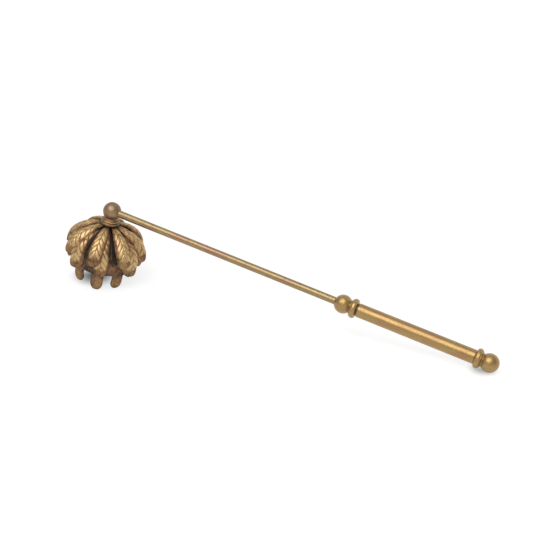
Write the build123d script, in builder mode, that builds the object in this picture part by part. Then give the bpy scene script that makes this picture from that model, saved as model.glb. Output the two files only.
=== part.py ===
"""A brass candle snuffer with a flower-shaped bell, lying on a table.

Every piece is drawn with the bell upright: the centre of the bell's ball is the origin,
the bell's axis is Z and the stem runs along X. At the end the whole snuffer is laid down
on two of its petal tips and the ball at its end, as it rests when nobody holds it.
"""
import os
from math import cos, radians, sin, sqrt, tan

from build123d import *

os.makedirs("parts", exist_ok=True)

# Balls, necks and rings, which are alike above the bell, before the grip and at its end
ball_diameter = 12.5
neck_diameter = 8.8
ring_diameter = 13.2
ring_thickness = 3.8
ring_bevel = 0.5
ring_distance = 7.7

# Stem, grip and the thinner core of the stem that runs through the grip
stem_diameter = 5.05
stem_span = 173.7
grip_diameter = 9.4
grip_length = 81.6
grip_bore_diameter = 6.5
groove_width = 0.9
groove_depth = 0.6
core_diameter = 4.0

# Leaves of the bell. The shares give where, from root to tip, a leaf has broadened, and
# how much of its width it has there.
leaf_count = 8
leaf_thickness = 1.5
leaf_half_width = 4.8
leaf_side_gap = 0.9
leaf_start = 4.4
broadening_shares = (0.32, 0.86)
layer_gap = 0.65

# Bends of a leaf: a wide brow from the ring, a tighter shoulder and, below the lower leaves'
# shoulders, a skirt that curls in a little. Radii are those of the upper leaves' outsides,
# and turns are in degrees.
brow_radius = 27.0
brow_turn = 48
shoulder_radius = 15.0
upper_shoulder_turn = 51
middle_shoulder_turn = 42
skirt_radius = 60.0
skirt_turn = 10.5

# Bearing of each layer of leaves, in degrees from the stem, seen from above. Every leaf
# leans a little from its even place.
upper_bearing = 10
middle_bearing = 25
upper_leans = (-3, 0, -2, 2, 3, -1, 1, 2)
middle_leans = (3, 2, -1, 1, 1, -4, -3, 4)

# Petal cup, the bell's inner wall, with its rim cut into eight smooth petals
cup_wall = 1.2
cup_shoulder_radius = 17.8
cup_mouth_radius = 20.7
cup_mouth_depth = 50.0
petal_half_width = 4.9
petal_length = 11.0
petal_bearing = 17.5

# Screw that holds the bell to its ball from inside, with its washer
screw_diameter = 4.0
screw_depth = 4.5
screw_head_width = 7.0
screw_head_height = 3.2
washer_diameter = 8.0
washer_thickness = 0.8

# Clearance in bored holes, and the overrun of every cut
fit_gap = 0.05
overrun = 5.0

# Places that follow from the sizes
ball_radius = ball_diameter / 2
neck_reach = ring_distance - ring_thickness / 2
ring_reach = ring_distance + ring_thickness / 2
pitch = 360 / leaf_count
front_ring_end = stem_span + ring_reach
pommel_place = front_ring_end + grip_length + ring_reach
layer_step = leaf_thickness + layer_gap
upper_top = -ring_reach
middle_top = upper_top - layer_step
cup_top = middle_top - layer_step
washer_top = cup_top - cup_wall
screw_head_top = washer_top - washer_thickness

pieces = {}


def keep(name, piece):
    """Label a finished piece and set it aside until the snuffer is laid down."""
    piece.label = name
    pieces[name] = piece


def round_bar(place, radius, length, mode=Mode.ADD):
    """Add or cut a round bar that starts on a plane and runs along its normal."""
    with BuildSketch(place) as section:
        Circle(radius)
    extrude(section.sketch, amount=length, mode=mode)


def collar_ring(place, pin_diameter):
    """Return a bevelled ring, centred on a plane and bored for what passes through it."""
    with BuildPart(place) as ring:
        Cylinder(ring_diameter / 2, ring_thickness)
        chamfer(ring.faces().filter_by(GeomType.CYLINDER).edges(), ring_bevel)
        Hole(pin_diameter / 2 + fit_gap)
    return ring.part


def leaf(top, bends):
    """Return one leaf of the bell, on the stem's side.

    A strip of even thickness leaves the ring level and follows the bends, each given as the
    radius of its outside and its turn. A leaf outline, drawn square to the line from root to
    tip, trims it: a narrow root that leaves room for its neighbours, sides that broaden
    quickly and then less, a round tip.
    """
    half = leaf_thickness / 2
    root = Vector(leaf_start, 0, top - half)
    with BuildPart() as blade:
        with BuildSketch(Plane.XZ):
            with BuildLine():
                tip, heading = (root.X, root.Z), (1, 0)
                for outer_radius, turn in bends:
                    bend = JernArc(tip, heading, outer_radius - half, -turn)
                    tip, heading = bend @ 1, bend % 1
            trace(line_width=leaf_thickness)
        extrude(amount=leaf_half_width + leaf_thickness, both=True)

        chord = Plane.XZ.from_local_coords(tip) - root
        shoulder = chord.length - leaf_half_width
        root_half = (leaf_start * tan(radians(pitch / 2))) - leaf_side_gap / 2
        broad = (broadening_shares[0] * chord.length, broadening_shares[1] * leaf_half_width)
        with BuildSketch(Plane(origin=root, x_dir=chord, z_dir=Vector(0, 1, 0).cross(chord))):
            with BuildLine():
                ThreePointArc((0, root_half), broad, (shoulder, leaf_half_width))
                mirror(about=Plane.XZ)
                ThreePointArc(
                    (shoulder, leaf_half_width), (chord.length, 0), (shoulder, -leaf_half_width)
                )
                Line((0, root_half), (0, -root_half))
            make_face()
        extrude(amount=chord.length, both=True, mode=Mode.INTERSECT)
    return blade.part


def cup_body(inset):
    """Return the eight-sided cup as a solid, its sides and top moved in by inset.

    Each side bends down along one arc from the leaves' roots to the belly, then runs
    straight to the mouth. Walls of that profile in four directions meet in the cup.
    """
    with BuildPart() as body:
        with BuildSketch(Plane.XZ):
            with BuildLine():
                start = (leaf_start, cup_top - inset)
                shoulder = JernArc(start, (1, 0), cup_shoulder_radius - inset, -90)
                side = Line(shoulder @ 1, (cup_mouth_radius - inset, -cup_mouth_depth))
                Line(side @ 1, (0, -cup_mouth_depth))
                Line((0, cup_top - inset), start)
                mirror(about=Plane.YZ)
            make_face()
        extrude(amount=leaf_start + cup_shoulder_radius, both=True)
        wall = body.part
        for number in range(1, leaf_count // 2):
            add(wall.rotate(Axis.Z, number * pitch), mode=Mode.INTERSECT)
    return body.part


def petal_gap():
    """Return the cutter that parts two petals of the cup, on the stem's side.

    It is as wide as the rim between the middles of two petals and leaves the round end
    and the straight sides of each.
    """
    petal_spacing = 2 * cup_mouth_radius * sin(radians(pitch / 2))
    round_end = petal_half_width - cup_mouth_depth
    with BuildPart() as cutter:
        with BuildSketch(Plane.YZ):
            with Locations((0, petal_length - cup_mouth_depth)):
                Rectangle(petal_spacing, petal_length + overrun, align=(Align.CENTER, Align.MAX))
            with Locations((petal_spacing / 2, round_end), (-petal_spacing / 2, round_end)):
                Circle(petal_half_width, mode=Mode.SUBTRACT)
                Rectangle(
                    2 * petal_half_width,
                    petal_length,
                    align=(Align.CENTER, Align.MIN),
                    mode=Mode.SUBTRACT,
                )
        extrude(amount=leaf_start + cup_shoulder_radius + overrun)
    return cutter.part


# Stem: a straight rod turned with its ball and neck before the grip, the core through the
# grip and the pommel's neck and ball, and with the bell's ball brazed over its front end
with BuildPart() as stem:
    with BuildSketch(Plane.XZ):
        Rectangle(stem_span, stem_diameter, align=(Align.MIN, Align.CENTER))
        with Locations((stem_span, 0), (pommel_place, 0)):
            Circle(ball_radius)
        with Locations((stem_span + neck_reach, 0)):
            Rectangle(grip_length, ball_diameter, align=(Align.MIN, Align.CENTER), mode=Mode.SUBTRACT)
        with Locations((pommel_place - neck_reach, 0)):
            Rectangle(grip_length, ball_diameter, align=(Align.MAX, Align.CENTER), mode=Mode.SUBTRACT)
        with Locations((stem_span, 0)):
            Rectangle(neck_reach, neck_diameter, align=(Align.MIN, Align.CENTER))
            Rectangle(pommel_place - stem_span, core_diameter, align=(Align.MIN, Align.CENTER))
        with Locations((pommel_place, 0)):
            Rectangle(neck_reach, neck_diameter, align=(Align.MAX, Align.CENTER))
        split(bisect_by=Plane.ZX)
    revolve(axis=Axis.X)
    Sphere(ball_radius)
    round_bar(-Plane.XY, neck_diameter / 2, neck_reach)
    round_bar(Plane.XY.offset(-neck_reach), ball_radius, -overrun, Mode.SUBTRACT)
    screw_tip = screw_depth - neck_reach
    round_bar(Plane.XY.offset(screw_tip), screw_diameter / 2 + fit_gap, -screw_depth, Mode.SUBTRACT)
keep("stem", stem.part)

# Three rings, under the bell's ball and at both ends of the grip
keep("bell_ring", collar_ring(Plane.XY.offset(-ring_distance), screw_diameter))
keep("front_ring", collar_ring(Plane.YZ.offset(stem_span + ring_distance), core_diameter))
keep("rear_ring", collar_ring(Plane.YZ.offset(pommel_place - ring_distance), core_diameter))

# Grip, a straight tube with a narrow groove turned next to the front ring
with BuildPart() as grip:
    round_bar(Plane.YZ.offset(front_ring_end), grip_diameter / 2 - groove_depth, groove_width)
    round_bar(
        Plane.YZ.offset(front_ring_end + groove_width), grip_diameter / 2, grip_length - groove_width
    )
    round_bar(Plane.YZ.offset(front_ring_end), grip_bore_diameter / 2, grip_length, Mode.SUBTRACT)
keep("grip", grip.part)

# Two layers of leaves, every leaf turned to its own bearing
upper_bends = ((brow_radius, brow_turn), (shoulder_radius, upper_shoulder_turn))
upper_leaf = leaf(upper_top, upper_bends)
middle_bends = (
    (brow_radius - layer_step, brow_turn),
    (shoulder_radius - layer_step, middle_shoulder_turn),
    (skirt_radius, skirt_turn),
)
middle_leaf = leaf(middle_top, middle_bends)
for number in range(leaf_count):
    upper_place = upper_bearing + number * pitch + upper_leans[number]
    keep(f"upper_leaf_{number + 1}", upper_leaf.rotate(Axis.Z, upper_place))
    middle_place = middle_bearing + number * pitch + middle_leans[number]
    keep(f"middle_leaf_{number + 1}", middle_leaf.rotate(Axis.Z, middle_place))

# Petal cup, hollow, with gaps that part its petals and a hole for the screw
with BuildPart() as petal_cup:
    add(cup_body(0))
    add(cup_body(cup_wall), mode=Mode.SUBTRACT)
    round_bar(Plane.XY.offset(cup_top), screw_diameter / 2 + fit_gap, -overrun, Mode.SUBTRACT)
    gap = petal_gap()
    gaps = [gap.rotate(Axis.Z, (number + 1 / 2) * pitch) for number in range(leaf_count)]
    add(gaps, mode=Mode.SUBTRACT)
keep("petal_cup", petal_cup.part.rotate(Axis.Z, petal_bearing))

# Washer and screw, out of sight inside the bell
with BuildPart() as bell_washer:
    with BuildSketch(Plane.XY.offset(washer_top)):
        Circle(washer_diameter / 2)
        Circle(screw_diameter / 2 + fit_gap, mode=Mode.SUBTRACT)
    extrude(amount=-washer_thickness)
keep("bell_washer", bell_washer.part)

with BuildPart() as bell_screw:
    with BuildSketch(Plane.XY.offset(screw_head_top)):
        RegularPolygon(screw_head_width / 2, 6, major_radius=False)
    extrude(amount=-screw_head_height)
    round_bar(Plane.XY.offset(screw_head_top), screw_diameter / 2, screw_tip - screw_head_top)
keep("bell_screw", bell_screw.part)


def petal_tip(bearing):
    """Return the lowest point of the petal that stands at a bearing from the stem."""
    reach = Vector(cos(radians(bearing)), sin(radians(bearing)), 0) * cup_mouth_radius
    return reach - Vector(0, 0, cup_mouth_depth)


# The table touches the two petal tips on either side of the stem and the last ball
left_tip = petal_tip(petal_bearing)
right_tip = petal_tip(petal_bearing - pitch)
along = (left_tip - right_tip).normalized()
pommel_way = Vector(pommel_place, 0, 0) - left_tip
across = pommel_way - along * pommel_way.dot(along)
lift = ball_radius / across.length
across = across.normalized()
table_normal = across * lift + across.cross(along) * sqrt(1 - lift * lift)
table_side = table_normal.cross(Vector(1, 0, 0))
table = Plane(origin=left_tip, x_dir=table_side.cross(table_normal), z_dir=table_normal)

# Lay every piece down on the table and centre the whole over the origin
lie_down = table.location.inverse()
extent = Compound([piece.moved(lie_down) for piece in pieces.values()]).bounding_box()
settle = Location((-extent.center().X, -extent.center().Y, -extent.min.Z)) * lie_down
for name, piece in pieces.items():
    laid = piece.moved(settle)
    laid.label = name
    export_step(laid, f"parts/{name}.step")
print("ball over the bell at", settle.position, "turned", settle.orientation)
print("size", extent.size, "lowest", extent.min.Z)
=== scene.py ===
"""A brass candle snuffer with a flower-shaped bell, lying on a white table."""

from bisect import bisect_right
from math import asin, atan2, cos, degrees, exp, hypot, pi, radians, sin, tan

import bmesh
import bpy
from mathutils import Matrix, Quaternion, Vector


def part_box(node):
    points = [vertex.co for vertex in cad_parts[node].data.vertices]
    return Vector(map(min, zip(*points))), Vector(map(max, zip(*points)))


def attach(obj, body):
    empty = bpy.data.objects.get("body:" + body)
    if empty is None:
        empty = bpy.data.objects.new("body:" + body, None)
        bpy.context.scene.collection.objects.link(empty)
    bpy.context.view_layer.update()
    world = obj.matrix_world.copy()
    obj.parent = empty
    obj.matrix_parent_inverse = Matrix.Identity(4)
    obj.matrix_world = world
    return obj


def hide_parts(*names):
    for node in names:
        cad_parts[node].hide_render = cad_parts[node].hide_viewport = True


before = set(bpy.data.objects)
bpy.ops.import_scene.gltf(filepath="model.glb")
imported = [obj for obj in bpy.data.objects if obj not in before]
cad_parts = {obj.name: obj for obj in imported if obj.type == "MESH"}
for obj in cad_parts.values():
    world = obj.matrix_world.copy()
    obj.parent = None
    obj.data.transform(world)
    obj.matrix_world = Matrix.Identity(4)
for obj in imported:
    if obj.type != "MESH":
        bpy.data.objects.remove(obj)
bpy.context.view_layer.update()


# How the snuffer lies. It rests on two petals and its last ball, so its stem slopes down to the right and the
# bell leans. Every piece below is drawn in millimetres as it would stand with the bell upright, from the
# centre of the ball over the bell, with X along the stem and Z up the bell, and is laid down by this matrix.
def middle(node):
    low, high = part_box(node)
    return (low + high) / 2


bell_collar, front_collar, rear_collar = middle("bell_ring"), middle("front_ring"), middle("rear_ring")
along = (rear_collar - front_collar).normalized()
ball_centre = front_collar + along * (bell_collar - front_collar).dot(along)
upward = (ball_centre - bell_collar).normalized()
lying = Matrix((along, upward.cross(along), upward)).transposed().to_4x4()
lying.translation = ball_centre
lying = lying @ Matrix.Scale(0.001, 4)
ring_distance = (ball_centre - bell_collar).length * 1000
front_ring_place = (front_collar - ball_centre).length * 1000
rear_ring_place = (rear_collar - ball_centre).length * 1000


# Handle brass. The balls, the rings and the grip were turned on a lathe, and the rod was drawn. The brass is
# a satin gold with faint brown and rosy tarnish and fine scratches along the bar, under a thin coat of wax.
def brass(name):
    """A new metal with its Principled shader, and the tree to build its surface in."""
    material = bpy.data.materials.new(name)
    material.use_nodes = True
    tree = material.node_tree
    shader = tree.nodes["Principled BSDF"]
    return material, tree, shader


def add_node(tree, kind, **settings):
    made = tree.nodes.new(kind)
    for name, value in settings.items():
        setattr(made, name, value)
    return made


def noise(tree, place, scale, detail=3.0):
    made = add_node(tree, "ShaderNodeTexNoise")
    made.inputs["Scale"].default_value = scale
    made.inputs["Detail"].default_value = detail
    tree.links.new(place, made.inputs["Vector"])
    return made.outputs["Fac"]


def remap(tree, value, low, high, to_low=0.0, to_high=1.0):
    made = add_node(tree, "ShaderNodeMapRange", interpolation_type="SMOOTHSTEP")
    for name, number in (("From Min", low), ("From Max", high), ("To Min", to_low), ("To Max", to_high)):
        made.inputs[name].default_value = number
    tree.links.new(value, made.inputs["Value"])
    return made.outputs["Result"]


def blend(tree, share, first, second):
    made = add_node(tree, "ShaderNodeMix", data_type="RGBA")
    tree.links.new(share, made.inputs["Factor"])
    for socket, colour in ((made.inputs["A"], first), (made.inputs["B"], second)):
        if isinstance(colour, tuple):
            socket.default_value = (*colour, 1)
        else:
            tree.links.new(colour, socket)
    return made.outputs["Result"]


def bump(tree, height, depth):
    """The normal of a surface whose height, from 0 to 1, stands for that depth in metres."""
    made = add_node(tree, "ShaderNodeBump")
    made.inputs["Distance"].default_value = depth
    tree.links.new(height, made.inputs["Height"])
    return made.outputs["Normal"]


def handle_brass(name, gold, rosy, tarnish):
    """A turned brass in two tones with stains, under a coat of wax. Its grain is drawn out along the bar."""
    grain_share, tone_scale, stain_scale, scuff_scale, scratch_scale = 0.22, 260, 420, 700, 2600
    scratch_depth, coat, coat_roughness = 0.000012, 0.8, 0.42
    rosy_from, rosy_to, stain_from, stain_to, deepest_stain = 0.42, 0.62, 0.58, 0.74, 0.75
    scuff_from, scuff_to, smooth_roughness, scuffed_roughness = 0.3, 0.75, 0.38, 0.48
    material, tree, shader = brass(name)
    place = add_node(tree, "ShaderNodeTexCoord").outputs["Object"]
    drawn_out = add_node(tree, "ShaderNodeMapping")
    drawn_out.inputs["Rotation"].default_value = (0, asin(along.z), 0)
    drawn_out.inputs["Scale"].default_value = (grain_share, 1, 1)
    tree.links.new(place, drawn_out.inputs["Vector"])
    grain = drawn_out.outputs["Vector"]
    tones = noise(tree, grain, tone_scale)
    toned = blend(tree, remap(tree, tones, rosy_from, rosy_to), gold, rosy)
    stains = noise(tree, place, stain_scale, 5)
    stained = remap(tree, stains, stain_from, stain_to, 0, deepest_stain)
    tree.links.new(blend(tree, stained, toned, tarnish), shader.inputs["Base Color"])
    scuffs = noise(tree, place, scuff_scale, 4)
    roughness = remap(tree, scuffs, scuff_from, scuff_to, smooth_roughness, scuffed_roughness)
    tree.links.new(roughness, shader.inputs["Roughness"])
    scratched = bump(tree, noise(tree, grain, scratch_scale, 4), scratch_depth)
    tree.links.new(scratched, shader.inputs["Normal"])
    shader.inputs["Metallic"].default_value = 1.0
    shader.inputs["Coat Weight"].default_value = coat
    shader.inputs["Coat Roughness"].default_value = coat_roughness
    return material


turned_brass = handle_brass(
    "turned_brass", gold=(0.368, 0.236, 0.074), rosy=(0.342, 0.194, 0.070), tarnish=(0.22, 0.125, 0.055)
)
rod_brass = handle_brass(
    "rod_brass", gold=(0.300, 0.210, 0.085), rosy=(0.290, 0.165, 0.085), tarnish=(0.18, 0.12, 0.06)
)


# Stem. A straight rod of drawn brass, as thick as a thin pencil, runs from the ball over the bell to the ball
# before the grip, and is brazed into both.
def as_object(name, mesh):
    """An object in the scene from a drawn piece, whose faces are turned outwards."""
    bmesh.ops.recalc_face_normals(mesh, faces=mesh.faces)
    data = bpy.data.meshes.new(name)
    mesh.to_mesh(data)
    mesh.free()
    piece = bpy.data.objects.new(name, data)
    bpy.context.scene.collection.objects.link(piece)
    return piece


def turn(name, profile, start, way, material, slot="handle_brass"):
    """A piece turned on the lathe. The profile's points are (distance along the axis, radius) in millimetres,
    and the axis leaves the start point in the given way. A ring's profile ends where it starts."""
    steps, sharp_edge = 96, radians(40)
    mesh = bmesh.new()
    side = Vector(way).orthogonal().normalized()
    turned = [Vector(start) + Vector(way) * reach + side * radius for reach, radius in profile]
    line = [mesh.verts.new(point) for point in turned]
    edges = [mesh.edges.new(pair) for pair in zip(line, line[1:])]
    if profile[0] == profile[-1]:
        bmesh.ops.remove_doubles(mesh, verts=mesh.verts, dist=1e-5)
        edges = mesh.edges[:]
    bmesh.ops.spin(
        mesh, geom=mesh.verts[:] + edges, cent=start, axis=way, angle=2 * pi, steps=steps, use_merge=True
    )
    bmesh.ops.remove_doubles(mesh, verts=mesh.verts, dist=1e-4)
    piece = as_object(name, mesh)
    piece.data.transform(lying)
    piece.data.shade_smooth()
    piece.data.set_sharp_from_angle(angle=sharp_edge)
    piece.data.materials.append(material)
    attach(piece, "root")
    return piece


def arc(centre, radius, first, last, steps=24):
    """Points of an arc about (distance, radius), between two angles in degrees from the axis."""
    angles = [radians(first + (last - first) * step / steps) for step in range(steps + 1)]
    return [(centre[0] + radius * cos(a), centre[1] + radius * sin(a)) for a in angles]


stem_radius = 2.525
stem_span = front_ring_place - ring_distance
rod_profile = [(0, 0), (0, stem_radius), (stem_span, stem_radius), (stem_span, 0)]
rod = turn("stem_rod", rod_profile, (0, 0, 0), (1, 0, 0), rod_brass)
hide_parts("stem")


# Balls. Three balls of one pattern are turned with a short waisted neck that flares against the ring. One
# stands over the bell and takes the rod in its side, one joins the rod to the grip, and one ends the handle.
ball_radius = 6.25
waist_start, waist_pull, waist_flare, waist_end = (4.25, 4.58), (4.75, 3.75), (5.75, 5.7), 5.95


def ball_and_neck(name, centre, way, material, slot="handle_brass"):
    """A ball with its neck in the given way: the neck's waist is a curve from the ball to the ring."""
    ball_steps, waist_steps = 40, 12
    meets = degrees(atan2(waist_start[1], waist_start[0]))
    profile = [(-ball_radius, 0)] + arc((0, 0), ball_radius, 180, meets, ball_steps)[1:]
    for step in range(1, waist_steps + 1):
        t = step / waist_steps
        bend = [
            (1 - t) ** 2 * waist_start[k] + 2 * t * (1 - t) * waist_pull[k] + t * t * waist_flare[k]
            for k in (0, 1)
        ]
        profile.append(tuple(bend))
    profile += [(waist_end, waist_flare[1]), (waist_end, 0)]
    return turn(name, profile, centre, way, material, slot)


pommel_place = rear_ring_place + ring_distance
ball_and_neck("front_ball", (stem_span, 0, 0), (1, 0, 0), turned_brass)
ball_and_neck("pommel", (pommel_place, 0, 0), (-1, 0, 0), turned_brass)


# Rings. A thick brass ring with round edges lies against each ball's neck. The rings at the ends of the grip
# keep the hand from sliding off, and the one at the bell covers the roots of the leaves.
ring_half, ring_radius, ring_bore = 1.9, 6.6, 2.1


def collar(name, centre, way, material, slot="handle_brass", bead_share=1.0):
    """A ring of one or two round beads with its bore, as a closed profile. The first bead takes the given
    share of its thickness and the second, a little narrower, the rest."""
    rounding_share, narrower, edge_steps, bead_steps = 0.85, 0.35, 14, 20
    thick = 2 * ring_half * bead_share
    rounding = thick / 2 * rounding_share
    crown = ring_radius - rounding
    profile = [(-ring_half, ring_bore), (-ring_half, crown)]
    profile += arc((-ring_half + rounding, crown), rounding, 180, 90, edge_steps)
    profile += arc((-ring_half + thick - rounding, crown), rounding, 90, 0, edge_steps)
    if bead_share < 1:
        small = (2 * ring_half - thick) / 2
        profile += arc((ring_half - small, ring_radius - narrower - small), small, 180, 0, bead_steps)
    profile += [(ring_half, ring_bore), (-ring_half, ring_bore)]
    return turn(name, profile, centre, way, material, slot)


front_ring = collar("front_collar", (front_ring_place, 0, 0), (1, 0, 0), turned_brass)
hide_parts("front_ring")
rear_ring = collar("rear_collar", (rear_ring_place, 0, 0), (1, 0, 0), turned_brass)
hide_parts("rear_ring")


# Grip. A straight round bar a little thicker than a pencil. A narrow groove is turned where it meets the
# front ring, and both its ends are rounded over. The groove's faces get a near-black brass, a painted shade
# for the recess.
grip_radius, groove_radius, groove_width, end_rounding, rounding_steps = 4.7, 4.05, 0.95, 0.45, 8
grip_start, grip_end = front_ring_place + ring_half, rear_ring_place - ring_half
groove_end = grip_start + groove_width
straight_from, straight_to = grip_start + 2, grip_end - 1
grip_crown = grip_radius - end_rounding
grip_profile = [(grip_start, 0), (grip_start, groove_radius), (groove_end, groove_radius)]
grip_profile += arc((groove_end + end_rounding, grip_crown), end_rounding, 180, 90, rounding_steps)
grip_profile += [(straight_from, grip_radius), (straight_to, grip_radius)]
grip_profile += arc((grip_end - end_rounding, grip_crown), end_rounding, 90, 0, rounding_steps)
grip_profile += [(grip_end, 0)]
grip = turn("grip_bar", grip_profile, (0, 0, 0), (1, 0, 0), turned_brass)
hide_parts("grip")
# Near-black brass for the groove's faces: painted shade in the recess by the front ring.
painted_groove_shade = handle_brass(
    "painted_groove_shade", gold=(0.085, 0.042, 0.022), rosy=(0.07, 0.03, 0.018), tarnish=(0.04, 0.02, 0.012)
)
grip.data.materials.append(painted_groove_shade)
upright = lying.inverted()
for face in grip.data.polygons:
    if grip_start < (upright @ face.center).x < groove_end + end_rounding / 2:
        face.material_index = 1


# Bell brass. The bell is cast or stamped from the same brass, but it has a brown patina from soot and age.
# The crests of the veins are rubbed bright, a few patches are reddish, and the hollows are nearly black.
def wear_group():
    """Colour, roughness and height of the worn patina, from how much a spot has been rubbed, a value that
    also carries painted shade.
    """
    group = bpy.data.node_groups.new("rubbed_patina", "ShaderNodeTree")
    for name, kind, way in (
        ("Wear_And_Shade", "NodeSocketFloat", "INPUT"),
        ("Bright", "NodeSocketColor", "INPUT"),
        ("Brown", "NodeSocketColor", "INPUT"),
        ("Soot", "NodeSocketColor", "INPUT"),
        ("Grain Scale", "NodeSocketFloat", "INPUT"),
        ("Unevenness", "NodeSocketFloat", "INPUT"),
        ("Color", "NodeSocketColor", "OUTPUT"),
        ("Roughness", "NodeSocketFloat", "OUTPUT"),
        ("Metallic", "NodeSocketFloat", "OUTPUT"),
        ("Height", "NodeSocketFloat", "OUTPUT"),
    ):
        group.interface.new_socket(name=name, in_out=way, socket_type=kind)
    given = group.nodes.new("NodeGroupInput")
    result = group.nodes.new("NodeGroupOutput")
    patch_scale, reddish_scale, reddish_brown = 170, 130, (0.28, 0.135, 0.075)
    patch_wear, grain_wear, grain_soot, brown_from, bright_from = 0.22, 0.1, -0.16, 0.34, 0.86
    sooty_roughness, rubbed_roughness, sooty_metallic = 0.62, 0.46, 0.72
    spot = add_node(group, "ShaderNodeTexCoord").outputs["Object"]
    patches = noise(group, spot, patch_scale, 4)
    fine = add_node(group, "ShaderNodeTexNoise")
    fine.inputs["Detail"].default_value = 4
    group.links.new(spot, fine.inputs["Vector"])
    group.links.new(given.outputs["Grain Scale"], fine.inputs["Scale"])
    mottled = add_node(group, "ShaderNodeMath", operation="ADD")
    uneven_patches = remap(group, patches, 0.3, 0.7, -patch_wear, patch_wear)
    group.links.new(uneven_patches, mottled.inputs[0])
    uneven_grain = remap(group, fine.outputs["Fac"], 0.35, 0.7, grain_wear, grain_soot)
    group.links.new(uneven_grain, mottled.inputs[1])
    uneven = add_node(group, "ShaderNodeMath", operation="MULTIPLY_ADD")
    group.links.new(mottled.outputs[0], uneven.inputs[0])
    group.links.new(given.outputs["Unevenness"], uneven.inputs[1])
    group.links.new(given.outputs["Wear_And_Shade"], uneven.inputs[2])
    worn_and_shaded = uneven.outputs[0]
    reddish = remap(group, noise(group, spot, reddish_scale, 2), 0.45, 0.62)
    brown = blend(group, reddish, given.outputs["Brown"], reddish_brown)
    darker = blend(group, remap(group, worn_and_shaded, 0.0, brown_from), given.outputs["Soot"], brown)
    colour = blend(group, remap(group, worn_and_shaded, brown_from, bright_from), darker, given.outputs["Bright"])
    group.links.new(colour, result.inputs["Color"])
    roughness = remap(group, worn_and_shaded, 0.1, 0.9, sooty_roughness, rubbed_roughness)
    group.links.new(roughness, result.inputs["Roughness"])
    group.links.new(remap(group, worn_and_shaded, 0.0, 0.5, sooty_metallic, 1.0), result.inputs["Metallic"])
    group.links.new(fine.outputs["Fac"], result.inputs["Height"])
    return group


rubbed_patina = wear_group()


def patinated(name, bright, brown, soot, grain_scale, unevenness, wear_and_shade="wear_and_shade"):
    """A bell brass. Its last argument is the name of the attribute that says how worn a spot is and how much
    painted shade it has, or one number.
    """
    grain_depth = 0.00005
    material, tree, shader = brass(name)
    wear = add_node(tree, "ShaderNodeGroup", node_tree=rubbed_patina)
    for socket, colour in (("Bright", bright), ("Brown", brown), ("Soot", soot)):
        wear.inputs[socket].default_value = (*colour, 1)
    wear.inputs["Grain Scale"].default_value = grain_scale
    wear.inputs["Unevenness"].default_value = unevenness
    if isinstance(wear_and_shade, str):
        worn_and_shaded = add_node(tree, "ShaderNodeAttribute", attribute_name=wear_and_shade)
        tree.links.new(worn_and_shaded.outputs["Fac"], wear.inputs["Wear_And_Shade"])
    else:
        wear.inputs["Wear_And_Shade"].default_value = wear_and_shade
    tree.links.new(wear.outputs["Color"], shader.inputs["Base Color"])
    tree.links.new(wear.outputs["Roughness"], shader.inputs["Roughness"])
    tree.links.new(wear.outputs["Metallic"], shader.inputs["Metallic"])
    tree.links.new(bump(tree, wear.outputs["Height"], grain_depth), shader.inputs["Normal"])
    return material


# Ball and ring of the bell. They are turned like the others, but have the bell's browner patina. The ring has
# two beads, rubbed bright on their crests and black between them. The lower bead is painted darker than the
# upper one, a painted shade for the ring's underside.
ball_brass = patinated(
    "ball_brass",
    bright=(0.35, 0.245, 0.145),
    brown=(0.19, 0.130, 0.080),
    soot=(0.050, 0.034, 0.022),
    grain_scale=300,
    unevenness=0.45,
    wear_and_shade=0.62,
)
collar_brass = patinated(
    "collar_brass",
    bright=(0.46, 0.315, 0.150),
    brown=(0.17, 0.110, 0.062),
    soot=(0.045, 0.032, 0.022),
    grain_scale=700,
    unevenness=0.35,
)
first_bead_share, bead_gap_height, crest_from, crest_to = 0.62, -7.2, 5.5, 6.4
hollow_wear, lit_upper_bead_wear, shaded_lower_bead_wear = 0.15, 0.75, 0.38
ball_and_neck("bell_ball", (0, 0, 0), (0, 0, -1), ball_brass, "bell_brass")
bell_ring = collar(
    "bell_collar", (0, 0, -ring_distance), (0, 0, 1), collar_brass, "bell_brass", first_bead_share
)
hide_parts("bell_ring")
crests = bell_ring.data.attributes.new("wear_and_shade", "FLOAT", "POINT")
for note, vertex in zip(crests.data, bell_ring.data.vertices):
    spot = upright @ vertex.co
    crest = min(max((spot.xy.length - crest_from) / (crest_to - crest_from), 0), 1)
    # The upper bead gets more wear than the lower one: painted light on top and painted shade underneath.
    bead_wear_and_shade = lit_upper_bead_wear if spot.z > bead_gap_height else shaded_lower_bead_wear
    note.value = hollow_wear + bead_wear_and_shade * crest


# Leaves. Two layers of eight leaves hang from under the ring and bend down over the cup. Each is thick
# stamped brass, domed across, with veins that sweep from its middle line to the tip, inside a smooth rim.
leaf_brass = patinated(
    "leaf_brass",
    bright=(0.56, 0.390, 0.185),
    brown=(0.28, 0.165, 0.075),
    soot=(0.075, 0.048, 0.027),
    grain_scale=900,
    unevenness=0.9,
)


def smooth(value, low, high):
    share = min(max((value - low) / (high - low), 0), 1)
    return share * share * (3 - 2 * share)


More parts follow.
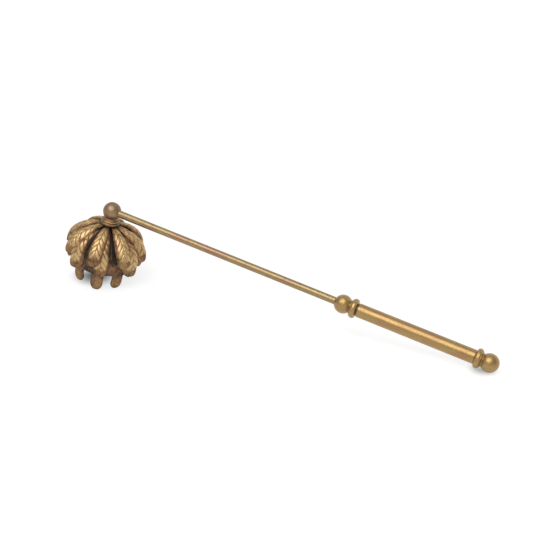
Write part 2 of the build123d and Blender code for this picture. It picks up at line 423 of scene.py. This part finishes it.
class Spine:
    """The middle line of a leaf: arcs that follow on one another from its level root down to its tip. Each
    bend is the radius of the leaf's outside and a turn in degrees."""

    def __init__(self, start, top, thickness, bends, steps=40):
        self.points = [(start, top - thickness / 2)]
        self.slopes = [0.0]
        self.reaches = [0.0]
        for outer_radius, turn in bends:
            radius = outer_radius - thickness / 2
            x, z, slope = *self.points[-1], self.slopes[-1]
            for step in range(1, steps + 1):
                bent = slope + radians(turn) * step / steps
                across, down = radius * (sin(bent) - sin(slope)), radius * (cos(slope) - cos(bent))
                self.points.append((x + across, z - down))
                self.slopes.append(bent)
                self.reaches.append(self.reaches[-1] + radius * radians(turn) / steps)
        chord = Vector(self.points[-1]) - Vector(self.points[0])
        self.length = chord.length
        way = chord.normalized()
        self.shadows = [(Vector(point) - Vector(self.points[0])).dot(way) for point in self.points]

    def at(self, s):
        """Place, slope and reach of the leaf where the line from its root to its tip has run that far."""
        k = min(bisect_right(self.shadows, s), len(self.shadows) - 1)
        low, high = self.shadows[k - 1], self.shadows[k]
        share = min((s - low) / (high - low), 1)
        spot = Vector(self.points[k - 1]).lerp(Vector(self.points[k]), share)
        slope = self.slopes[k - 1] + (self.slopes[k] - self.slopes[k - 1]) * share
        reach = self.reaches[k - 1] + (self.reaches[k] - self.reaches[k - 1]) * share
        return spot, slope, reach


def arc_through(first, second, third):
    """Height over the base line of the arc through three points, as a function of the distance along it."""
    (ax, ay), (bx, by), (cx, cy) = first, second, third
    double = 2 * (ax * (by - cy) + bx * (cy - ay) + cx * (ay - by))
    a, b, c = ax * ax + ay * ay, bx * bx + by * by, cx * cx + cy * cy
    x = (a * (by - cy) + b * (cy - ay) + c * (ay - by)) / double
    y = (a * (cx - bx) + b * (ax - cx) + c * (bx - ax)) / double
    radius = hypot(ax - x, ay - y)
    return lambda s: y + (radius ** 2 - (s - x) ** 2) ** 0.5


def leaf(top, bends, bearing, twist, painted_cover_shade):
    """One leaf: its outline is the one that a cutter square to the line from root to tip would leave, with a
    narrow root, sides that broaden quickly and then less, and a round tip. It is twisted by hand towards its
    tip, by an angle in degrees, and stands off a little there. The last argument is how much painted shade
    darkens the part of it that the upper leaves cover."""
    start, half_width, root_half, thickness = 4.4, 4.8, 1.37, 1.5
    broad_place_share, broad_width_share, bluntness = 0.32, 0.86, 2.5
    rows, tip_rows, columns = 120, 26, 48
    doming, doming_power, flat_tip_share, edge_power, tip_rounding = 1.9, 2.8, 0.45, 6, 1.1
    plump, plump_from, plump_to = 1.4, 15, 7
    relief, rim, vein_start, tip_rim, fade, stand_off_share = 0.16, 1.25, 3.4, 6.2, 1.2, 0.4
    twist_from, twist_to, covered_to, uncovered_from = 0.2, 0.8, 0.38, 0.68
    even_wear, edge_wear, root_painted_shade, field_wear, inner_wear = 0.20, 0.10, 0.20, 0.12, 0.1
    spine = Spine(start, top, thickness, bends)
    shoulder = spine.length - half_width
    broad = (broad_place_share * spine.length, broad_width_share * half_width)
    flank = arc_through((0, root_half), broad, (shoulder, half_width))
    places = [shoulder * row / rows for row in range(rows)]
    places += [shoulder + half_width * sin(pi / 2 * row / tip_rows) for row in range(tip_rows + 1)]
    mesh = bmesh.new()
    layers = {name: mesh.verts.layers.float.new(name) for name in ("along", "across", "field", "wear_and_shade")}
    full_reach = spine.reaches[-1]
    slant = tan(radians(twist))
    sheets = []
    for face in (1, -1):
        grid = []
        for s in places:
            spot, slope, reach = spine.at(s)
            if s > shoulder:
                blunt = max(1 - ((s - shoulder) / half_width) ** bluntness, 0.0003)
                width = half_width * blunt ** (1 / bluntness)
            else:
                width = flank(s)
            to_tip = full_reach - reach
            twisted = smooth(reach / full_reach, twist_from, twist_to)
            thickened = smooth(reach, full_reach - plump_from, full_reach - plump_to)
            uncovered = smooth(reach / full_reach, covered_to, uncovered_from)
            line = []
            for column in range(columns + 1):
                share = 2 * column / columns - 1
                across = width * share
                edge = min(width - abs(across), 0.8 * to_tip)
                body = (1 - abs(share) ** edge_power) ** 0.5 * smooth(to_tip, -0.2, tip_rounding) ** 0.5
                field = smooth(edge, 0.4 * rim, 1.4 * rim)
                field *= smooth(reach, vein_start - fade, vein_start + fade)
                field *= smooth(to_tip, tip_rim - fade, tip_rim + fade)
                hollow = doming * (1 - flat_tip_share * smooth(tip_rim - to_tip, 0, tip_rim))
                height = face * thickness / 2 * body - hollow * abs(across / half_width) ** doming_power
                height += twisted * (slant * across + stand_off_share * abs(slant) * half_width)
                if face > 0:
                    height += relief * (field - 1)
                else:
                    height -= plump * body * thickened
                point = mesh.verts.new((spot.x + height * sin(slope), across, spot.y + height * cos(slope)))
                point[layers["along"]] = reach
                point[layers["across"]] = across
                point[layers["field"]] = field if face > 0 else 0
                outer_wear_and_shade = even_wear + edge_wear * smooth(edge, 0.0, 0.7)
                # Painted shade: the leaf is darker near its root, under the ring.
                outer_wear_and_shade -= root_painted_shade * smooth(vein_start + 2 - reach, 0, 3.5)
                # Painted shade on the part of a middle leaf that the upper leaves cover.
                outer_wear_and_shade += field_wear * field - painted_cover_shade * (1 - uncovered)
                point[layers["wear_and_shade"]] = outer_wear_and_shade if face > 0 else inner_wear
                line.append(point)
            grid.append(line)
        sheets.append(grid)
    close_sheets(mesh, *sheets)
    turned = Matrix.Rotation(radians(bearing), 3, "Z")
    bmesh.ops.rotate(mesh, verts=mesh.verts, cent=(0, 0, 0), matrix=turned)
    return mesh


def close_sheets(mesh, outer, inner, sides_from=0):
    """Faces over two grids of points and round their rims, from a row on at the sides."""
    for grid in (outer, inner):
        for first, second in zip(grid, grid[1:]):
            for k in range(len(first) - 1):
                mesh.faces.new((first[k], first[k + 1], second[k + 1], second[k]))
    for k in (0, -1):
        rows = list(zip(outer, inner))[sides_from:]
        for (a, c), (b, d) in zip(rows, rows[1:]):
            mesh.faces.new((a[k], b[k], d[k], c[k]))
    for row in (0, -1):
        for k in range(len(outer[row]) - 1):
            mesh.faces.new((outer[row][k], outer[row][k + 1], inner[row][k + 1], inner[row][k]))
    bmesh.ops.remove_doubles(mesh, verts=mesh.verts, dist=0.004)


def vein_carver():
    """Geometry nodes that sink the grooves between a leaf's veins and note how rubbed each spot is."""
    sharpness, midrib_share, crest_wear, groove_soot = 4.0, 0.8, 0.44, 0.62
    carver = bpy.data.node_groups.new("vein_carver", "GeometryNodeTree")
    for name, kind, way in (
        ("Leaf", "NodeSocketGeometry", "INPUT"),
        ("Vein Spacing", "NodeSocketFloat", "INPUT"),
        ("Vein Sweep", "NodeSocketFloat", "INPUT"),
        ("Vein Stagger", "NodeSocketFloat", "INPUT"),
        ("Groove Depth", "NodeSocketFloat", "INPUT"),
        ("Midrib Width", "NodeSocketFloat", "INPUT"),
        ("Metal", "NodeSocketMaterial", "INPUT"),
        ("Carved", "NodeSocketGeometry", "OUTPUT"),
    ):
        carver.interface.new_socket(name=name, in_out=way, socket_type=kind)
    given = carver.nodes.new("NodeGroupInput").outputs
    result = carver.nodes.new("NodeGroupOutput")

    def attribute(name):
        read = add_node(carver, "GeometryNodeInputNamedAttribute", data_type="FLOAT")
        read.inputs["Name"].default_value = name
        return read.outputs["Attribute"]

    def math(operation, *values):
        made = add_node(carver, "ShaderNodeMath", operation=operation)
        for socket, value in zip(made.inputs, values):
            if isinstance(value, (int, float)):
                socket.default_value = value
            else:
                carver.links.new(value, socket)
        return made.outputs[0]

    across, field = attribute("across"), attribute("field")
    outwards = math("ABSOLUTE", across)
    stagger = math("MULTIPLY", math("GREATER_THAN", across, 0.0), given["Vein Stagger"])
    swept = math("SUBTRACT", attribute("along"), math("MULTIPLY", outwards, given["Vein Sweep"]))
    phase = math("FRACT", math("ADD", math("DIVIDE", swept, given["Vein Spacing"]), stagger))
    from_crest = math("ABSOLUTE", math("MULTIPLY_ADD", phase, 2.0, -1.0))
    groove = math("POWER", from_crest, sharpness)
    midrib = math("SUBTRACT", 1.0, math("DIVIDE", outwards, given["Midrib Width"]))
    sunk = math("MAXIMUM", groove, math("MULTIPLY", math("MAXIMUM", midrib, 0.0), midrib_share))
    depth = math("MULTIPLY", math("MULTIPLY", sunk, field), given["Groove Depth"])
    push = add_node(carver, "ShaderNodeVectorMath", operation="SCALE")
    carver.links.new(add_node(carver, "GeometryNodeInputNormal").outputs["Normal"], push.inputs[0])
    carver.links.new(math("MULTIPLY", depth, -1.0), push.inputs["Scale"])
    carve = add_node(carver, "GeometryNodeSetPosition")
    carver.links.new(given["Leaf"], carve.inputs["Geometry"])
    carver.links.new(push.outputs[0], carve.inputs["Offset"])
    crest = math("MULTIPLY", field, math("MULTIPLY_ADD", sunk, -groove_soot, crest_wear))
    note = add_node(carver, "GeometryNodeStoreNamedAttribute", data_type="FLOAT", domain="POINT")
    note.inputs["Name"].default_value = "wear_and_shade"
    carver.links.new(carve.outputs["Geometry"], note.inputs["Geometry"])
    carver.links.new(math("ADD", attribute("wear_and_shade"), crest), note.inputs["Value"])
    shade = add_node(carver, "GeometryNodeSetShadeSmooth")
    carver.links.new(note.outputs["Geometry"], shade.inputs["Geometry"])
    coat = add_node(carver, "GeometryNodeSetMaterial")
    carver.links.new(shade.outputs["Geometry"], coat.inputs["Geometry"])
    carver.links.new(given["Metal"], coat.inputs["Material"])
    whole = add_node(carver, "GeometryNodeRealizeInstances")
    carver.links.new(coat.outputs["Geometry"], whole.inputs["Geometry"])
    carver.links.new(whole.outputs["Geometry"], result.inputs["Carved"])
    return carver


def run_nodes(piece, nodes, **values):
    """Give a piece geometry nodes with these inputs and turn the result into a plain mesh."""
    modifier = piece.modifiers.new("nodes", "NODES")
    modifier.node_group = nodes
    sockets = {item.name: item.identifier for item in nodes.interface.items_tree if item.in_out == "INPUT"}
    for name, value in values.items():
        modifier[sockets[name.replace("_", " ")]] = value
    evaluated = piece.evaluated_get(bpy.context.evaluated_depsgraph_get())
    plain = bpy.data.meshes.new_from_object(evaluated)
    piece.modifiers.remove(modifier)
    plain.name = piece.name
    piece.data = plain


carver = vein_carver()
leaf_pitch, leaves_top, layer_step = 45, -9.6, 2.15
brow_radius, side_radius, skirt_bend = 27.0, 15.0, (60.0, 10.5)
upper_bearing, middle_bearing, middle_painted_shade = 10, 25, 0.42
upper_bends = ((brow_radius, 48), (side_radius, 51))
middle_bends = ((brow_radius - layer_step, 48), (side_radius - layer_step, 42), skirt_bend)
upper_leans, upper_twists = (-3, 0, -2, 2, 3, -1, 1, 2), (14, 8, -6, 5, -5, -18, -5, 8)
middle_leans, middle_twists = (3, 2, -1, 1, 1, -4, -3, 4), (18, 8, -5, 6, -14, -20, 0, 24)
middle_top = leaves_top - layer_step
# The middle leaves carry painted shade where the upper leaves cover them.
for layer, top, bends, bearing, leans, twists, painted_cover_shade in (
    ("upper", leaves_top, upper_bends, upper_bearing, upper_leans, upper_twists, 0.0),
    ("middle", middle_top, middle_bends, middle_bearing, middle_leans, middle_twists, middle_painted_shade),
):
    for number, (lean, twist) in enumerate(zip(leans, twists)):
        drawn = leaf(top, bends, bearing + leaf_pitch * number + lean, twist, painted_cover_shade)
        piece = as_object(f"{layer}_veined_leaf_{number + 1}", drawn)
        piece.data.transform(lying)
        run_nodes(
            piece,
            carver,
            Vein_Spacing=4.5,
            Vein_Sweep=1.25,
            Vein_Stagger=0.3,
            Groove_Depth=0.00034,
            Midrib_Width=0.35,
            Metal=leaf_brass,
        )
        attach(piece, "root")
        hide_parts(f"{layer}_leaf_{number + 1}")


# Petals. The innermost layer is a smooth brass cup, whose rim is cut into eight long petals. Each of them
# swells a little across and ends in a round tip with a dimple, like a small spoon. Their rounded sides, their
# tip edges and the top of the cup under the leaves are painted darker, painted shade, and each dimple is
# painted lighter, a painted highlight.
petal_brass = patinated(
    "petal_brass",
    bright=(0.32, 0.200, 0.090),
    brown=(0.17, 0.100, 0.055),
    soot=(0.050, 0.036, 0.026),
    grain_scale=600,
    unevenness=0.9,
)
petal_count, petal_bearing, petal_length, mouth_depth = 8, 17.5, 11.0, 50.0
slit_top = mouth_depth - petal_length


def petal():
    """One eighth of the cup with its petal, on the stem's side, as a closed wall."""
    cup_top, start, arc_radius, mouth_radius, wall, half_width = -13.9, 4.4, 17.8, 20.7, 1.2, 4.9
    shoulder_rows, straight_rows, tip_rows, columns = 36, 44, 24, 40
    dent_depth, dent_half_width, dent_half_length, dent_from_tip = 1.2, 2.1, 2.6, 5.2
    crease, crease_from, crease_to, plump, side_power = 0.9, 24, 34, 0.9, 7
    even_wear, petal_wear, dent_painted_highlight, inner_wear = 0.20, 0.36, 0.20, 0.1
    side_painted_shade, upper_painted_shade, tip_painted_shade = 0.30, 0.18, 0.24
    belly = start + arc_radius
    belly_depth = -cup_top + arc_radius
    tip_start = mouth_depth - half_width
    angles = [pi / 2 * row / shoulder_rows for row in range(shoulder_rows)]
    profile = [(start + arc_radius * sin(a), -cup_top + arc_radius * (1 - cos(a))) for a in angles]
    skirt = tip_start - belly_depth
    depths = [belly_depth + skirt * row / straight_rows for row in range(straight_rows + 1)]
    depths += [tip_start + half_width * sin(pi / 2 * row / tip_rows) for row in range(1, tip_rows + 1)]
    fall = mouth_depth - belly_depth
    profile += [(belly + (mouth_radius - belly) * (depth - belly_depth) / fall, depth) for depth in depths]
    mesh = bmesh.new()
    rubbed_layer = mesh.verts.layers.float.new("wear_and_shade")
    sheets = []
    for face in (1, -1):
        grid = []
        for radius, depth in profile:
            full = radius * tan(pi / petal_count)
            if depth > tip_start:
                width = max(half_width ** 2 - (depth - tip_start) ** 2, 0) ** 0.5
            else:
                width = full + (half_width - full) * smooth(depth, slit_top - 0.4, slit_top + 0.5)
            free = smooth(depth, slit_top - 1, slit_top + 1.5)
            thickened = smooth(depth, slit_top + 2, mouth_depth - 4)
            creased = crease * smooth(depth, crease_from, crease_to)
            row_wear_and_shade = even_wear + petal_wear * smooth(depth, 37, 44)
            # Painted shade: the top of the cup, under the leaves, is darker.
            row_wear_and_shade -= upper_painted_shade * smooth(34 - depth, 0, 14)
            # Painted shade on the rounded edge of the tip.
            row_wear_and_shade -= tip_painted_shade * smooth(mouth_depth - 1.6 - depth, 2, -2)
            line = []
            for column in range(columns + 1):
                share = 2 * column / columns - 1
                across = width * share
                rounding = 1 - (1 - (1 - abs(share) ** side_power) ** 0.5) * free
                rounding *= 1 - free * (1 - smooth(mouth_depth - depth, -0.12, 0.8) ** 0.5)
                from_dent = (depth - mouth_depth + dent_from_tip) / dent_half_length
                # The dimple is painted lighter than the petal around it: a painted highlight in the hollow.
                dent = exp(-((across / dent_half_width) ** 2 + from_dent ** 2))
                height = face * wall / 2 * rounding - wall / 2 - creased * abs(across / full) ** 3
                height -= dent_depth * dent
                if face < 0:
                    height -= plump * rounding * thickened
                point = mesh.verts.new((radius + height, across, -depth))
                # Painted shade on the rounded sides of a free petal.
                outer_wear_and_shade = row_wear_and_shade + dent_painted_highlight * dent - side_painted_shade * (across / half_width) ** 4 * free
                point[rubbed_layer] = outer_wear_and_shade if face > 0 else inner_wear
                line.append(point)
            grid.append(line)
        sheets.append(grid)
    slit_row = sum(depth <= slit_top - 0.5 for radius, depth in profile)
    close_sheets(mesh, *sheets, sides_from=slit_row)
    return mesh


def ring_of_petals():
    """Geometry nodes that set copies of one petal round the bell's axis and join them in one cup."""
    nodes = bpy.data.node_groups.new("ring_of_petals", "GeometryNodeTree")
    for name, kind, way in (
        ("Petal", "NodeSocketGeometry", "INPUT"),
        ("Count", "NodeSocketInt", "INPUT"),
        ("Bearing", "NodeSocketFloat", "INPUT"),
        ("Metal", "NodeSocketMaterial", "INPUT"),
        ("Cup", "NodeSocketGeometry", "OUTPUT"),
    ):
        nodes.interface.new_socket(name=name, in_out=way, socket_type=kind)
    given = nodes.nodes.new("NodeGroupInput").outputs
    result = nodes.nodes.new("NodeGroupOutput")
    points = add_node(nodes, "GeometryNodePoints")
    nodes.links.new(given["Count"], points.inputs["Count"])
    points.inputs["Position"].default_value = (0, 0, 0)
    number = add_node(nodes, "GeometryNodeInputIndex")
    turn_step = add_node(nodes, "ShaderNodeMath", operation="DIVIDE")
    turn_step.inputs[0].default_value = 2 * pi
    nodes.links.new(given["Count"], turn_step.inputs[1])
    angle = add_node(nodes, "ShaderNodeMath", operation="MULTIPLY_ADD")
    nodes.links.new(number.outputs["Index"], angle.inputs[0])
    nodes.links.new(turn_step.outputs[0], angle.inputs[1])
    nodes.links.new(given["Bearing"], angle.inputs[2])
    turned = add_node(nodes, "ShaderNodeCombineXYZ")
    nodes.links.new(angle.outputs[0], turned.inputs["Z"])
    rotation = add_node(nodes, "FunctionNodeEulerToRotation")
    nodes.links.new(turned.outputs[0], rotation.inputs[0])
    set_round = add_node(nodes, "GeometryNodeInstanceOnPoints")
    nodes.links.new(points.outputs[0], set_round.inputs["Points"])
    nodes.links.new(given["Petal"], set_round.inputs["Instance"])
    nodes.links.new(rotation.outputs[0], set_round.inputs["Rotation"])
    whole = add_node(nodes, "GeometryNodeRealizeInstances")
    nodes.links.new(set_round.outputs[0], whole.inputs["Geometry"])
    joined = add_node(nodes, "GeometryNodeMergeByDistance")
    joined.inputs["Distance"].default_value = 0.01
    nodes.links.new(whole.outputs["Geometry"], joined.inputs["Geometry"])
    coat = add_node(nodes, "GeometryNodeSetMaterial")
    nodes.links.new(joined.outputs["Geometry"], coat.inputs["Geometry"])
    nodes.links.new(given["Metal"], coat.inputs["Material"])
    shade = add_node(nodes, "GeometryNodeSetShadeSmooth")
    nodes.links.new(coat.outputs["Geometry"], shade.inputs["Geometry"])
    nodes.links.new(shade.outputs["Geometry"], result.inputs["Cup"])
    return nodes


def bend_by_hand(data):
    """Turn the petals a little round the bell, so that they stand unevenly, and make the one at the front
    longer and those at both sides shorter. Each of these is a bearing and what it adds to the length."""
    crowding, crowded_side, shared_turn = radians(8.2), radians(-139.6), radians(-2)
    uneven_petals = ((radians(-71), 1.8), (radians(8), -4.5), (radians(-157), -4.5))
    petal_side, next_petal = radians(16), radians(22)
    for vertex in data.vertices:
        x, y, z = vertex.co
        bearing = atan2(y, x) + shared_turn + crowding * cos(atan2(y, x) - crowded_side)
        reach = hypot(x, y)
        for middle_of_petal, extra in uneven_petals:
            apart = abs((bearing - middle_of_petal + pi) % (2 * pi) - pi)
            z -= extra * (1 - smooth(apart, petal_side, next_petal)) * smooth(-z, slit_top, mouth_depth)
        vertex.co = (reach * cos(bearing), reach * sin(bearing), z)


cup = as_object("petals_of_cup", petal())
run_nodes(cup, ring_of_petals(), Count=petal_count, Bearing=radians(petal_bearing), Metal=petal_brass)
bend_by_hand(cup.data)
cup.data.transform(lying)
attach(cup, "root")
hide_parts("petal_cup")


# Screw and washer. Inside the bell a plain washer and a hexagon-headed screw draw the leaves and the cup
# against the ball. They keep the shape of the frame and only get a sooty finish.
for name in ("bell_screw", "bell_washer"):
    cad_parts[name].data.materials.clear()
    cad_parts[name].data.materials.append(ball_brass)


# Table and light. The snuffer lies on a large white table in a pale room, whose far wall is the brightest,
# under one broad soft lamp that hangs high in front of it. The table throws little light back on the brass,
# and a glow that only the camera and reflections see shows it white.
table_reach, table_grey, table_roughness = 8.0, 0.26, 0.9
near_glow, far_glow, near, far = 0.77, 0.98, 0.15, 1.1
table_data = bpy.data.meshes.new("table")
corners = [(x * table_reach, y * table_reach, 0) for x, y in ((-1, -1), (1, -1), (1, 1), (-1, 1))]
table_data.from_pydata(corners, [], [(0, 1, 2, 3)])
table = bpy.data.objects.new("table", table_data)
bpy.context.scene.collection.objects.link(table)
white, tree, shader = brass("white_table")
shader.inputs["Base Color"].default_value = (table_grey, table_grey, table_grey, 1)
shader.inputs["Roughness"].default_value = table_roughness
shader.inputs["Specular IOR Level"].default_value = 0.0
shader.inputs["Emission Color"].default_value = (1, 1, 1, 1)
table_data.materials.append(white)
seen = add_node(tree, "ShaderNodeLightPath").outputs
mirrored = add_node(tree, "ShaderNodeMath", operation="MAXIMUM")
tree.links.new(seen["Is Glossy Ray"], mirrored.inputs[0])
tree.links.new(seen["Is Transmission Ray"], mirrored.inputs[1])
shown = add_node(tree, "ShaderNodeMath", operation="MAXIMUM")
tree.links.new(seen["Is Camera Ray"], shown.inputs[0])
tree.links.new(mirrored.outputs[0], shown.inputs[1])
table_spot = add_node(tree, "ShaderNodeTexCoord").outputs["Object"]
distance = add_node(tree, "ShaderNodeVectorMath", operation="LENGTH")
tree.links.new(table_spot, distance.inputs[0])
glow = remap(tree, distance.outputs["Value"], near, far, near_glow, far_glow)

# The glow fades out under the bell and beside the last ball, which paints darker shadows on the table where
# they stand.
under_bell = lying @ Vector((-5, 0, -mouth_depth - 1))
beside_pommel = lying @ Vector((pommel_place - 3.5, 0, -6))
for spot, darkest_within, fades_to, least_share in (
    (under_bell, 0.002, 0.0195, 0.10),
    (beside_pommel, 0.0, 0.011, 0.45),
):
    away = add_node(tree, "ShaderNodeVectorMath", operation="DISTANCE")
    tree.links.new(table_spot, away.inputs[0])
    away.inputs[1].default_value = (spot.x, spot.y, 0)
    painted_shadow_share = remap(tree, away.outputs["Value"], darkest_within, fades_to, least_share, 1)
    painted_shadow_glow = add_node(tree, "ShaderNodeMath", operation="MULTIPLY")
    tree.links.new(glow, painted_shadow_glow.inputs[0])
    tree.links.new(painted_shadow_share, painted_shadow_glow.inputs[1])
    glow = painted_shadow_glow.outputs[0]
lift = add_node(tree, "ShaderNodeMath", operation="MULTIPLY")
tree.links.new(shown.outputs[0], lift.inputs[0])
tree.links.new(glow, lift.inputs[1])
tree.links.new(lift.outputs[0], shader.inputs["Emission Strength"])

ceiling_height, wall_foot, wall_light = 0.45, 0.05, 0.40
behind_camera, beyond_table, front_light, far_light = -0.1, 0.6, 0.38, 0.90
world = bpy.data.worlds.new("pale_room")
bpy.context.scene.world = world
world.use_nodes = True
tree = world.node_tree
background = tree.nodes["Background"]
way = add_node(tree, "ShaderNodeTexCoord").outputs["Generated"]
split = add_node(tree, "ShaderNodeSeparateXYZ")
tree.links.new(way, split.inputs[0])
wall = remap(tree, split.outputs["Z"], wall_foot, ceiling_height, wall_light, 0.0)
far_wall = remap(tree, split.outputs["Y"], behind_camera, beyond_table, front_light, far_light)
room = add_node(tree, "ShaderNodeMath", operation="ADD")
tree.links.new(wall, room.inputs[0])
tree.links.new(far_wall, room.inputs[1])
tree.links.new(room.outputs[0], background.inputs["Color"])
background.inputs["Strength"].default_value = 1.0

lamp_data = bpy.data.lights.new("high_lamp", "AREA")
lamp_data.shape = "RECTANGLE"
lamp_data.size = 1.1
lamp_data.size_y = 1.0
lamp_data.energy = 11.8
lamp = bpy.data.objects.new("high_lamp", lamp_data)
bpy.context.scene.collection.objects.link(lamp)
lamp.location = (-0.05, -0.62, 1.0)
lamp_target = Vector((0, 0, 0.03))
lamp.rotation_euler = (lamp_target - lamp.location).to_track_quat("-Z", "Y").to_euler()


# Camera. It looks down at the snuffer from in front and to the right, as in the photograph, with a long lens
# and a slight tilt of the picture.
aim = Vector((-0.00713, 0.00249, 0.0360))
view_bearing, view_drop, view_roll, view_distance = radians(110.975), radians(24.019), radians(3.924), 0.7971
picture_width, focal_pixels, sensor_width = 533, 1201.2, 36
camera_data = bpy.data.cameras.new("camera")
camera_data.sensor_width = sensor_width
camera_data.lens = focal_pixels / picture_width * sensor_width
camera = bpy.data.objects.new("camera", camera_data)
bpy.context.scene.collection.objects.link(camera)
sight = Vector((cos(view_drop) * cos(view_bearing), cos(view_drop) * sin(view_bearing), -sin(view_drop)))
camera.location = aim - sight * view_distance
camera.rotation_euler = (sight.to_track_quat("-Z", "Y") @ Quaternion((0, 0, 1), view_roll)).to_euler()
bpy.context.scene.camera = camera

bpy.context.scene.view_settings.view_transform = "Standard"
